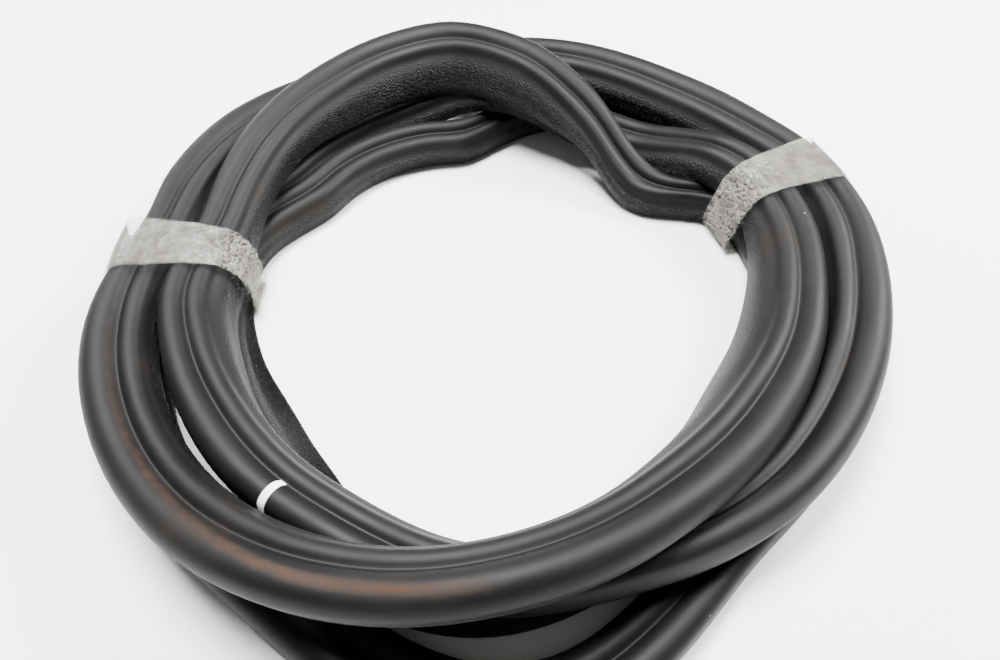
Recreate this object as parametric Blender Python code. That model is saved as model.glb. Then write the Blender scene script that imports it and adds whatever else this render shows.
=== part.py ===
"""Rubber door seal, coiled in four strands and bound with two wraps of clear tape.

One closed length of seal goes four times round. Its cross-section stands in a
radial plane at each station, and the four sections that share a plane are pushed
apart until none overlaps another, so the strands cross over and under each other.
Sizes here are in millimetres, and MM turns them into metres.
"""
import math

import bmesh
import bpy
import numpy as np
from mathutils import Vector

MM = 0.001

# Seal section: a bulb beside a grooved clamp, with a lip on the clamp's far side.
BULB_RADIUS = 9.6
BEAD_HEIGHT = 0.7
CLAMP_RADIUS = 5.6
CLAMP_SINK = 2.0
CROWN_RISE = 1.4
LEG_DROP = 4.0
SLOT_WIDTH = 3.4
SLOT_DEPTH = 9.5
LIP_LENGTH = 22.0
LIP_ROOT_THICKNESS = 2.2
LIP_TIP_THICKNESS = 1.4
LIP_NODES = 5
LIP_FOLD = 0.55
LIP_BEND = math.radians(42)

# Coil
RING_RADIUS = 150.0
TURNS = 4
STATIONS_PER_TURN = 40
START_ANGLE = 171.0
STRAND_CLEARANCE = 0.7
FLOOR_FORCE = 3.0
FIRST_TIER = BULB_RADIUS + 0.5
TIER_PITCH = 2 * BULB_RADIUS + 1.8

# Tape
TAPE_WIDTH = 30.0
TAPE_THICKNESS = 0.8
TAPE_CLEARANCE = 0.35
TAPE_ANGLES = {"tape_wrap_left": 177.5, "tape_wrap_right": 22.0}
TAPE_STEPS = 4

# Lay of the seal, one row for each place where it is steered: angle round the coil,
# bulb centre outside the ring radius, height in tiers, roll in degrees, width of the
# bulb as a share of its free width, and how far the lip is tucked in.
LAY = [
    # front, from outer top over the crossing to inner top
    (171, 18, 1, 0, .62, .9),
    (183, 25, 1, 0, .8, .9),
    (195, 30, 1, 0, 1, .9),
    (210, 31, 1, 0, 1, .8),
    (225, 30, 1.2, 0, 1, .8),
    (240, 28, 1.7, 8, 1, .9),
    (255, 23, 1.97, 15, 1, 1),
    (270, 15, 2.1, 18, 1, 1),
    (285, 6, 2.0, 15, 1, 1),
    (300, -2, 1.75, 8, 1, .7),
    (312, -5, 1.5, 3, 1, .4),
    (325, -6, 1.3, 0, .95, .1),
    (340, -3, 1.1, 0, .85, .1),
    (350, -1, 1, 0, .78, .3),
    (365, 1, 1, 0, .75, .6),
    (382, 4, 1, 0, .75, .9),
    # back, from inner top down to outer bottom
    (395, 6, 1, 0, .62, .9),
    (404, 6, .6, 0, .62, .9),
    (412, 5, .15, 0, .62, 1),
    (425, 0, .1, 0, .62, 1),
    (438, -4, .6, 0, .62, 1),
    (450, -3, .95, 0, .62, 1),
    (460, 3, .9, 0, .62, .95),
    (470, 10, .45, 0, .62, .9),
    (485, 16, .1, 0, .62, .95),
    (500, 19, 0, 0, .62, 1),
    (518, 20, 0, 0, .62, 1),
    (531, 18, 0, 0, .62, 1),
    # front, outer bottom, splayed away from the bundle in the middle
    (545, 23, 0, 0, .7, 1),
    (565, 28, 0, 0, .75, 1),
    (585, 28, 0, 0, .8, 1),
    (597, 27, 0, 0, .9, 1),
    (607, 32, 0, 0, 1, 1),
    (618, 41, 0, 0, 1, 1),
    (630, 48, 0, 0, 1, 1),
    (641, 43, 0, 0, 1, 1),
    (651, 29, 0, 0, .9, 1),
    (660, 20, 0, 0, .8, 1),
    (670, 14, 0, 0, .7, 1),
    (683, 16, 0, 0, .7, 1),
    (697, 22, 0, 0, .75, 1),
    (712, 31, 0, 0, .8, 1),
    (727, 34, 0, 0, .75, 1),
    (742, 33, 0, 0, .75, 1),
    # back, from outer bottom to inner bottom
    (760, 33, 0, 0, .62, 1),
    (770, 31, 0, 0, .62, 1),
    (782, 20, 0, 0, .62, 1),
    (793, 13, 0, 0, .62, 1),
    (804, 5, 0, 0, .62, 1),
    (815, -1, 0, 0, .62, 1),
    (828, -4, 0, 0, .62, 1),
    (840, -5, 0, 0, .62, 1),
    (855, -6, 0, 0, .62, 1),
    (870, -5, 0, 0, .62, 1),
    (891, -8, 0, 0, .62, 1),
    # front, inner bottom, with the lip spread at the left
    (903, -7, 0, 0, .62, .9),
    (917, -7, 0, 0, .62, .7),
    (932, -7, .05, -8, .62, .5),
    (947, -3, .1, -10, .62, .4),
    (960, 3, 0, 0, .62, .7),
    (973, 11, 0, 0, .62, 1),
    (985, 13, 0, 0, .62, 1),
    (998, 8, 0, 0, .62, 1),
    (1011, 0, 0, 0, .62, 1),
    (1024, -7, 0, 0, .62, 1),
    (1037, -10, 0, 0, .62, 1),
    (1050, -10, 0, 0, .62, 1),
    (1080, -2, 0, 0, .7, 1),
    (1102, 0, 0, 0, .75, 1),
    # back, from inner bottom over the top of the others to inner top
    (1115, -10, 0, 0, .62, 1),
    (1130, -17, .25, 10, .62, 1),
    (1140, -14, .8, 12, .72, 1),
    (1150, -9, 1.25, 10, .92, .8),
    (1158, -4, 1.6, 3, 1, .6),
    (1166, 0, 1.85, 0, 1, .3),
    (1174, 12, 1.85, 0, 1, .4),
    (1182, 20, 1.7, 0, 1, .5),
    (1192, 23, 1.5, 0, 1, .6),
    (1203, 18, 1.38, 0, 1, .7),
    (1215, 13, 1.28, 0, .95, .8),
    (1230, 6, 1.1, 0, .85, .9),
    (1240, 0, 1, 0, .75, .9),
    (1251, -8, 1, 0, .62, .9),
    # front, from inner top under the crossing to outer top
    (1265, -2, 1.03, 0, .68, .5),
    (1280, 1, 1.05, 0, .75, .5),
    (1295, 5, 1.02, 0, .85, .8),
    (1307, 10, 1, 0, .85, .9),
    (1318, 12, .95, 0, .75, .9),
    (1330, 14, .95, 0, .75, .9),
    (1350, 14, 1, 0, .8, .9),
    (1368, 10, 1.05, 8, .8, 1),
    (1383, 12, 1.05, 15, .8, 1),
    (1395, 14, 1, 18, .9, .9),
    (1410, 16, .95, 18, .95, .9),
    (1425, 20, 1, 12, .95, .9),
    (1440, 26, 1, 6, .9, .9),
    (1450, 30, 1, 0, .8, .9),
    (1462, 31, 1, 0, .75, .9),
    # back, outer top, dipping where another strand crosses over it
    (1475, 25, 1, 0, .85, .9),
    (1490, 22, 1, 0, .95, .9),
    (1500, 20, 1.08, 0, .9, .9),
    (1512, 21, 1.12, 0, .85, .9),
    (1524, 25, .98, 0, .8, .9),
    (1535, 30, .7, 0, .85, .9),
    (1548, 33, .46, 0, .9, .9),
    (1560, 34, .5, 0, .9, .9),
    (1572, 31, .72, 0, .9, .9),
    (1586, 27, .95, 0, .85, .9),
    (1602, 22, 1, 0, .75, .9),
]


def lay_value(angle, column):
    """Periodic monotone cubic through one column of LAY."""
    period = 360.0 * TURNS
    count = len(LAY)

    def knot(i):
        return LAY[i % count][0] + period * (i // count)

    def value(i):
        return LAY[i % count][column]

    def slope(i):
        before = (value(i) - value(i - 1)) / (knot(i) - knot(i - 1))
        after = (value(i + 1) - value(i)) / (knot(i + 1) - knot(i))
        if before * after <= 0:
            return 0.0
        return 2 * before * after / (before + after)

    angle = (angle - LAY[0][0]) % period + LAY[0][0]
    i = max(j for j in range(count) if LAY[j][0] <= angle + 1e-9)
    span = knot(i + 1) - knot(i)
    u = (angle - knot(i)) / span
    start = (2 * u**3 - 3 * u**2 + 1) * value(i) + (u**3 - 2 * u**2 + u) * span * slope(i)
    end = (3 * u**2 - 2 * u**3) * value(i + 1) + (u**3 - u**2) * span * slope(i + 1)
    return start + end


def turned(points, roll):
    """Points (n, 2) or (n, k, 2) turned by each station's roll."""
    cosine, sine = np.cos(roll), np.sin(roll)
    if points.ndim == 3:
        cosine, sine = cosine[:, None], sine[:, None]
    x, y = points[..., 0], points[..., 1]
    return np.stack([x * cosine - y * sine, x * sine + y * cosine], axis=-1)


def near_tape(angles, flat, fade):
    """1 within flat degrees of a tape, falling to 0 over the next fade degrees."""
    near = np.zeros(len(angles))
    for tape_angle in TAPE_ANGLES.values():
        away = np.abs((angles - tape_angle + 180) % 360 - 180)
        near = np.maximum(near, np.clip((flat + fade - away) / fade, 0, 1))
    return near


def floor_height(angles):
    """Lowest height for the seal: on the floor, or on the tape where it is wrapped."""
    wrap = TAPE_THICKNESS + TAPE_CLEARANCE
    return .3 + (wrap - .3) * near_tape(angles, 12, 8)


def section_discs(share):
    """Three discs for the bulb and three for the clamp, as (across, up, radius)."""
    half = BULB_RADIUS * share
    rise = BULB_RADIUS - half
    gap = half + CLAMP_RADIUS - CLAMP_SINK
    middle = (CROWN_RISE - LEG_DROP) / 2
    return [
        (0, rise, half),
        (0, 0, half),
        (0, -rise, half),
        (-gap, CROWN_RISE, CLAMP_RADIUS),
        (-gap, middle, CLAMP_RADIUS),
        (-gap, -LEG_DROP, CLAMP_RADIUS),
    ]


class Lay:
    """Where each station's section stands: centre, roll, bulb share and lip nodes."""

    def __init__(self):
        count = STATIONS_PER_TURN * TURNS
        self.angles = START_ANGLE + np.arange(count) * 360.0 / STATIONS_PER_TURN
        rows = np.array([[lay_value(a, c) for c in range(1, 6)] for a in self.angles])
        self.goal = np.stack([RING_RADIUS + rows[:, 0],
                              FIRST_TIER + TIER_PITCH * rows[:, 1]], axis=1)
        self.goal_roll = np.radians(rows[:, 2])
        self.share = np.clip(rows[:, 3], .5, 1)
        tuck = np.clip(rows[:, 4], 0, 1)
        self.centre = self.goal.copy()
        self.roll = self.goal_roll.copy()
        self.discs = np.array([section_discs(s) for s in self.share])
        self.gap = -self.discs[:, 3, 0]
        self.root = np.stack([-self.gap - CLAMP_RADIUS + .2,
                              np.full(count, CROWN_RISE - 1.2)], axis=1)
        self.step = LIP_LENGTH / LIP_NODES * (1 - LIP_FOLD * np.clip((tuck - .6) / .4, 0, 1))
        self.rest = self.lip_at_rest(tuck)
        self.lip = self.centre[:, None] + turned(self.rest, self.roll)
        self.half_lip = np.linspace(LIP_ROOT_THICKNESS, LIP_TIP_THICKNESS, LIP_NODES) / 2
        self.floor = floor_height(self.angles)
        self.hold = .12 * near_tape(self.angles, 5, 9)
        self.settle()

    def lip_at_rest(self, tuck):
        """Lip nodes in the section's own axes, spread where tuck is 0, hanging where 1."""
        spread = np.radians([22, 32, 42, 52, 62])
        hanging = np.radians([25, 82, 95, 100, 100])
        rest = np.zeros((len(tuck), LIP_NODES, 2))
        point = self.root.copy()
        for k in range(LIP_NODES):
            heading = spread[k] + (hanging[k] - spread[k]) * tuck
            ahead = np.stack([-np.cos(heading), -np.sin(heading)], axis=1)
            point = point + self.step[:, None] * ahead
            rest[:, k] = point
        return rest

    def pushes(self, centres, radii):
        """Push on each disc, taken in the planes and at steps between them."""
        push = self.plane_pushes(centres, radii, self.floor) * .4
        for share in (.25, .5, .75):
            between = self.plane_pushes(
                centres * (1 - share) + np.roll(centres, -1, 0) * share,
                radii * (1 - share) + np.roll(radii, -1, 0) * share,
                self.floor * (1 - share) + np.roll(self.floor, -1) * share)
            push += .45 * ((1 - share) * between + share * np.roll(between, 1, 0))
        return push

    def plane_pushes(self, centres, radii, floor):
        """Push on each disc out of the discs of the other strands and off the floor."""
        push = np.zeros_like(centres)
        per = STATIONS_PER_TURN
        for a in range(TURNS):
            for b in range(a + 1, TURNS):
                first = slice(a * per, (a + 1) * per)
                second = slice(b * per, (b + 1) * per)
                away = centres[first][:, :, None] - centres[second][:, None]
                distance = np.linalg.norm(away, axis=-1) + 1e-9
                need = radii[first][:, :, None] + radii[second][:, None] + STRAND_CLEARANCE
                over = np.clip(need - distance, 0, None)
                force = away * (over / distance)[..., None] * .5
                push[first] += force.sum(2)
                push[second] -= force.sum(1)
        push[:, :, 1] += FLOOR_FORCE * np.clip(radii + floor[:, None] - centres[:, :, 1], 0, None)
        return push

    def settle(self, rounds=700):
        """Push the sections apart while the guides and the neighbours hold them."""
        body = self.discs.shape[1]
        lips = np.broadcast_to(self.half_lip, (len(self.angles), LIP_NODES))
        radii = np.concatenate([self.discs[:, :, 2], lips], axis=1)
        for turn in range(rounds):
            ease = max(0.0, 1 - turn / (rounds * .6))
            arm = turned(self.discs[:, :, :2], self.roll)
            centres = np.concatenate([self.centre[:, None] + arm, self.lip], axis=1)
            push = self.pushes(centres, radii)
            own = centres[:, body:, None] - centres[:, None, :body]
            distance = np.linalg.norm(own, axis=-1) + 1e-9
            need = radii[:, body:, None] + radii[:, None, :body] + STRAND_CLEARANCE
            over = np.clip(need - distance, 0, None)
            over[:, 0] = 0
            push[:, body:] += (own / distance[..., None] * over[..., None]).sum(2)
            held = push[:, :body]
            moment = (arm[..., 0] * held[..., 1] - arm[..., 1] * held[..., 0]).sum(1)
            self.centre += .45 * held.sum(1)
            self.roll += .45 * moment / 600
            self.lip += .45 * push[:, body:]
            pull = .03 * ease + self.hold
            self.centre += pull[:, None] * (self.goal - self.centre)
            self.roll += pull * (self.goal_roll - self.roll)
            self.even_out(.10 * ease + .001)
            self.pull_lip(.05)
        lowest = self.half_lip + self.floor[:, None]
        self.lip[:, :, 1] = np.maximum(self.lip[:, :, 1], lowest)

    def even_out(self, amount):
        """Spread the moves from the guides along the strand."""
        for _ in range(2):
            moved = self.centre - self.goal
            self.centre += amount * (np.roll(moved, 1, 0) + np.roll(moved, -1, 0) - 2 * moved)
            turned_by = self.roll - self.goal_roll
            self.roll += amount * (np.roll(turned_by, 1) + np.roll(turned_by, -1) - 2 * turned_by)

    def pull_lip(self, amount):
        """Spring the lip back to its own shape and keep its length."""
        want = self.centre[:, None] + turned(self.rest, self.roll)
        self.lip += amount * (want - self.lip)
        beside = self.lip - self.centre[:, None]
        self.lip += .1 * (np.roll(beside, 1, 0) + np.roll(beside, -1, 0) - 2 * beside)
        before = self.centre + turned(self.root, self.roll)
        course = self.roll + math.pi + math.radians(40)
        for k in range(LIP_NODES):
            ahead = self.lip[:, k] - before
            bend = np.arctan2(ahead[:, 1], ahead[:, 0]) - course
            bend = (bend + math.pi) % (2 * math.pi) - math.pi
            course = course + np.clip(bend, -LIP_BEND, LIP_BEND)
            ahead = np.stack([np.cos(course), np.sin(course)], axis=1)
            self.lip[:, k] = before + ahead * self.step[:, None]
            before = self.lip[:, k]

    def outline(self, i):
        """Closed outline of station i's section as (radius, height), counterclockwise."""
        local = section_outline(self.share[i], self.local_lip(i), self.half_lip)
        cosine, sine = math.cos(self.roll[i]), math.sin(self.roll[i])
        r, z = self.centre[i]
        return [(r + a * cosine - b * sine, z + a * sine + b * cosine) for a, b in local]

    def outline_at(self, angle):
        """Outline at any angle, on the straight faces between the two stations beside it."""
        place = (angle - START_ANGLE) % (360 * TURNS) * STATIONS_PER_TURN / 360
        i = int(place)
        share = place - i
        first, second = self.outline(i), self.outline((i + 1) % len(self.angles))
        half = math.pi / STATIONS_PER_TURN
        straight = math.cos(half) / math.cos(half * (1 - 2 * share))
        return [((r0 + (r1 - r0) * share) * straight, z0 + (z1 - z0) * share)
                for (r0, z0), (r1, z1) in zip(first, second)]

    def local_lip(self, i):
        cosine, sine = math.cos(self.roll[i]), math.sin(self.roll[i])
        away = self.lip[i] - self.centre[i]
        return [(x * cosine + y * sine, -x * sine + y * cosine) for x, y in away]


def disc_meeting(first, second, upper):
    """Where two discs' circles cross, the upper or the lower of the two points."""
    (x0, y0, r0), (x1, y1, r1) = first, second
    dx, dy = x1 - x0, y1 - y0
    d = math.hypot(dx, dy)
    along = (r0 * r0 - r1 * r1 + d * d) / (2 * d)
    side = math.sqrt(max(r0 * r0 - along * along, 0))
    mx, my = x0 + dx * along / d, y0 + dy * along / d
    points = [(mx - dy * side / d, my + dx * side / d), (mx + dy * side / d, my - dx * side / d)]
    return max(points, key=lambda p: p[1]) if upper else min(points, key=lambda p: p[1])


def arc(disc, start, end, steps):
    """Points on a disc's edge between two angles in degrees, both ends included."""
    x, y, radius = disc
    angles = [math.radians(start + (end - start) * k / steps) for k in range(steps + 1)]
    return [(x + radius * math.cos(t), y + radius * math.sin(t)) for t in angles]


def bearing(disc, point):
    """Angle in degrees from a disc's centre to a point."""
    return math.degrees(math.atan2(point[1] - disc[1], point[0] - disc[0]))


def section_outline(share, lip, half_lip):
    """Outline of the section in its own axes: across is away from the lip, up is the crown."""
    top, _, bottom, crown, _, leg = section_discs(share)
    gap = -crown[0]
    skin = BEAD_HEIGHT
    top = (top[0], top[1], top[2] - skin)
    bottom = (bottom[0], bottom[1], bottom[2] - skin)
    slot = SLOT_WIDTH / 2
    mouth = -LEG_DROP - math.sqrt(CLAMP_RADIUS**2 - slot**2)
    roof = -LEG_DROP - CLAMP_RADIUS + SLOT_DEPTH
    under = disc_meeting(leg, bottom, False)
    over = disc_meeting(crown, top, True)
    points = [(-gap + slot, roof), (-gap + slot, mouth)]
    points += arc(leg, -50, bearing(leg, under), 1)
    bead = -48
    points += arc(bottom, bearing(bottom, under), bead - 9, 3)[1:]
    points.append(((bottom[2] + skin) * math.cos(math.radians(bead)),
                   bottom[1] + (bottom[2] + skin) * math.sin(math.radians(bead))))
    points += arc(bottom, bead + 9, 0, 2)
    points += arc(top, 0 if share > .999 else 4, bearing(top, over), 6)[1:]
    points += arc(crown, bearing(crown, over), 172, 4)[1:]
    root = (-gap - CLAMP_RADIUS + .2, CROWN_RISE - 1.2)
    nodes = [root] + list(lip)
    upper, lower = [], []
    for k in range(1, len(nodes)):
        before = nodes[k - 1]
        after = nodes[min(k + 1, len(nodes) - 1)]
        dx, dy = after[0] - before[0], after[1] - before[1]
        length = math.hypot(dx, dy) or 1
        nx, ny = dy / length, -dx / length
        half = half_lip[k - 1]
        upper.append((nodes[k][0] + nx * half, nodes[k][1] + ny * half))
        lower.append((nodes[k][0] - nx * half, nodes[k][1] - ny * half))
    points += upper
    points += lower[::-1]
    points.append((-gap - CLAMP_RADIUS + .02, CROWN_RISE - 3.2))
    points += arc(leg, 180, 250, 2)
    points += [(-gap - slot, mouth), (-gap - slot, roof)]
    return points


def at_angle(angle, outline):
    """Outline of a radial plane as points in space, in metres."""
    cosine, sine = math.cos(math.radians(angle)), math.sin(math.radians(angle))
    return [Vector((r * cosine, r * sine, z)) * MM for r, z in outline]


def ring_of(mesh, points):
    """Closed loop of edges through points."""
    verts = [mesh.verts.new(p) for p in points]
    return [mesh.edges.new((verts[k], verts[(k + 1) % len(verts)])) for k in range(len(verts))]


def loop_verts(edges):
    """Vertices of a closed loop in the order of its edges."""
    ordered = []
    for k, edge in enumerate(edges):
        following = edges[(k + 1) % len(edges)]
        ordered.append(edge.verts[0] if edge.verts[1] in following.verts else edge.verts[1])
    return ordered


def extrude_ring(mesh, edges, points):
    """Extrude a closed loop of edges onto new points, and return the new loop."""
    old = loop_verts(edges)
    made = bmesh.ops.extrude_edge_only(mesh, edges=edges)["geom"]
    fresh = {v for v in made if isinstance(v, bmesh.types.BMVert)}
    follow = {}
    for edge in made:
        if isinstance(edge, bmesh.types.BMEdge):
            a, b = edge.verts
            if (a in fresh) != (b in fresh):
                follow[b if a in fresh else a] = a if a in fresh else b
    verts = []
    for vert in old:
        if vert not in follow:
            for edge in vert.link_edges:
                other = edge.other_vert(vert)
                if other in fresh:
                    follow[vert] = other
        verts.append(follow[vert])
    for vert, point in zip(verts, points):
        vert.co = point
    return [mesh.edges.get((verts[k], verts[(k + 1) % len(verts)])) for k in range(len(verts))]


def closed_loft(name, rings):
    """Solid swept through rings of points and joined end to start."""
    mesh = bmesh.new()
    first = ring_of(mesh, rings[0])
    edges = first
    for points in rings[1:]:
        edges = extrude_ring(mesh, edges, points)
    start, end = loop_verts(first), loop_verts(edges)
    for k in range(len(start)):
        following = (k + 1) % len(start)
        mesh.faces.new((end[k], end[following], start[following], start[k]))
    return finish(name, mesh)


def finish(name, mesh):
    """Turn a bmesh into a named object with its faces outward."""
    bmesh.ops.triangulate(mesh, faces=mesh.faces)
    bmesh.ops.recalc_face_normals(mesh, faces=mesh.faces)
    data = bpy.data.meshes.new(name)
    mesh.to_mesh(data)
    mesh.free()
    item = bpy.data.objects.new(name, data)
    bpy.context.scene.collection.objects.link(item)
    return item


def convex_hull(points):
    """Counterclockwise convex hull of points in a plane."""
    points = sorted(set(points))

    def chain(ordered):
        out = []
        for p in ordered:
            while len(out) > 1:
                (ax, ay), (bx, by) = out[-2], out[-1]
                if (bx - ax) * (p[1] - ay) - (by - ay) * (p[0] - ax) > 0:
                    break
                out.pop()
            out.append(p)
        return out[:-1]

    return chain(points) + chain(points[::-1])


def grown(hull, distance):
    """Convex outline moved outward, with its edges resampled evenly by angle."""
    steps = 48
    out = []
    for k in range(steps):
        t = 2 * math.pi * k / steps
        nx, ny = math.cos(t), math.sin(t)
        out.append(((nx, ny), max(x * nx + y * ny for x, y in hull) + distance))
    corners = []
    for k in range(steps):
        (ax, ay), da = out[k]
        (bx, by), db = out[(k + 1) % steps]
        det = ax * by - ay * bx
        corners.append(((da * by - db * ay) / det, (ax * db - bx * da) / det))
    return corners


def tape(name, lay, angle):
    """Flat band of tape wound round the four strands, its underside on the floor."""
    reach = math.degrees(TAPE_WIDTH / 2 / RING_RADIUS)
    points = []
    for turn in range(TURNS):
        for share in (-1, -.75, -.5, -.25, 0, .25, .5, .75, 1):
            points += lay.outline_at(angle + share * reach + 360 * turn)
    hull = convex_hull([(round(r, 4), round(z, 4)) for r, z in points])
    inner = grown(hull, TAPE_CLEARANCE)
    outer = grown(hull, TAPE_CLEARANCE + TAPE_THICKNESS)
    bottom = min(z for _, z in outer) + TAPE_THICKNESS / 2
    inner = [(r, TAPE_THICKNESS if z < bottom + TAPE_THICKNESS else z) for r, z in inner]
    outer = [(r, 0.0 if z < bottom else z) for r, z in outer]
    spin = [angle - reach + 2 * reach * k / TAPE_STEPS for k in range(TAPE_STEPS + 1)]
    mesh = bmesh.new()
    rings = {}
    for side, outline in (("outer", outer), ("inner", inner)):
        first = ring_of(mesh, at_angle(spin[0], outline))
        edges = first
        for turn in spin[1:]:
            edges = extrude_ring(mesh, edges, at_angle(turn, outline))
        rings[side] = (loop_verts(first), loop_verts(edges))
    for end in (0, 1):
        out, inn = rings["outer"][end], rings["inner"][end]
        for k in range(len(out)):
            following = (k + 1) % len(out)
            mesh.faces.new((out[k], out[following], inn[following], inn[k]))
    return finish(name, mesh)


def material(name, colour, roughness, alpha=1.0):
    """Plain Principled material."""
    made = bpy.data.materials.new(name)
    made.use_nodes = True
    shader = made.node_tree.nodes["Principled BSDF"]
    shader.inputs["Base Color"].default_value = (*colour, 1)
    shader.inputs["Roughness"].default_value = roughness
    shader.inputs["Alpha"].default_value = alpha
    return made


def main():
    for item in list(bpy.data.objects):
        bpy.data.objects.remove(item, do_unlink=True)
    lay = Lay()
    rings = [at_angle(lay.angles[i], lay.outline(i)) for i in range(len(lay.angles))]
    rubber = material("seal_rubber", (.02, .02, .021), .5)
    film = material("clear_tape", (.75, .74, .7), .25, .6)
    seal = closed_loft("door_seal", rings)
    seal.data.materials.append(rubber)
    parts = [seal]
    for name, angle in TAPE_ANGLES.items():
        wrap = tape(name, lay, angle)
        wrap.data.materials.append(film)
        parts.append(wrap)
    low = Vector(min(v.co[k] for p in parts for v in p.data.vertices) for k in range(3))
    high = Vector(max(v.co[k] for p in parts for v in p.data.vertices) for k in range(3))
    shift = Vector((-(low.x + high.x) / 2, -(low.y + high.y) / 2, -low.z))
    for part in parts:
        for vert in part.data.vertices:
            vert.co += shift


main()
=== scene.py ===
"""Looks of the coiled door seal: soft rubber, grained lip, rust, and two wraps of clear tape.

The lay is worked out as in the part's source, so every surface stands where the solids are.
"""
import math

import bmesh
import bpy
import numpy as np
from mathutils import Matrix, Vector, noise


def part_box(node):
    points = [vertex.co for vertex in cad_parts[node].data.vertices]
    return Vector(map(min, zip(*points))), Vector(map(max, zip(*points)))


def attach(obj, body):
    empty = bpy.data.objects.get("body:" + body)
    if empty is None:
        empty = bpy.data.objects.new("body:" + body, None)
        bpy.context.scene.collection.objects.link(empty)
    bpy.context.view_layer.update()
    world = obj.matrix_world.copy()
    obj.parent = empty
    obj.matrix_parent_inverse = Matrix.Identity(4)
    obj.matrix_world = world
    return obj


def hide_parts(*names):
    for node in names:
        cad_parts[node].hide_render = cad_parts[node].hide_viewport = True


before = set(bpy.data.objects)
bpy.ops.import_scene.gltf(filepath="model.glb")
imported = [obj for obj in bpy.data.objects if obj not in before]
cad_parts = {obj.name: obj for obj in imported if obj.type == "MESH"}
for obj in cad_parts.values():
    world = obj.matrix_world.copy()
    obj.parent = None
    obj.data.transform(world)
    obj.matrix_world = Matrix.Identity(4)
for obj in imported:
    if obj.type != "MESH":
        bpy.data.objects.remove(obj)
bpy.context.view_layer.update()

MM = 0.001

# Seal section: a bulb beside a grooved clamp, with a lip on the clamp's far side.
BULB_RADIUS = 9.6
BEAD_HEIGHT = 0.7
CLAMP_RADIUS = 5.6
CLAMP_SINK = 2.0
CROWN_RISE = 1.4
LEG_DROP = 4.0
SLOT_WIDTH = 3.4
SLOT_DEPTH = 9.5
LIP_LENGTH = 22.0
LIP_ROOT_THICKNESS = 2.2
LIP_TIP_THICKNESS = 1.4
LIP_NODES = 5
LIP_FOLD = 0.55
LIP_BEND = math.radians(42)

# Coil
RING_RADIUS = 150.0
TURNS = 4
STATIONS_PER_TURN = 40
START_ANGLE = 171.0
STRAND_CLEARANCE = 0.7
FLOOR_FORCE = 3.0
FIRST_TIER = BULB_RADIUS + 0.5
TIER_PITCH = 2 * BULB_RADIUS + 1.8

# Tape
TAPE_WIDTH = 30.0
TAPE_THICKNESS = 0.8
TAPE_CLEARANCE = 0.35
TAPE_ANGLES = {"tape_wrap_left": 177.5, "tape_wrap_right": 22.0}

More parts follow.
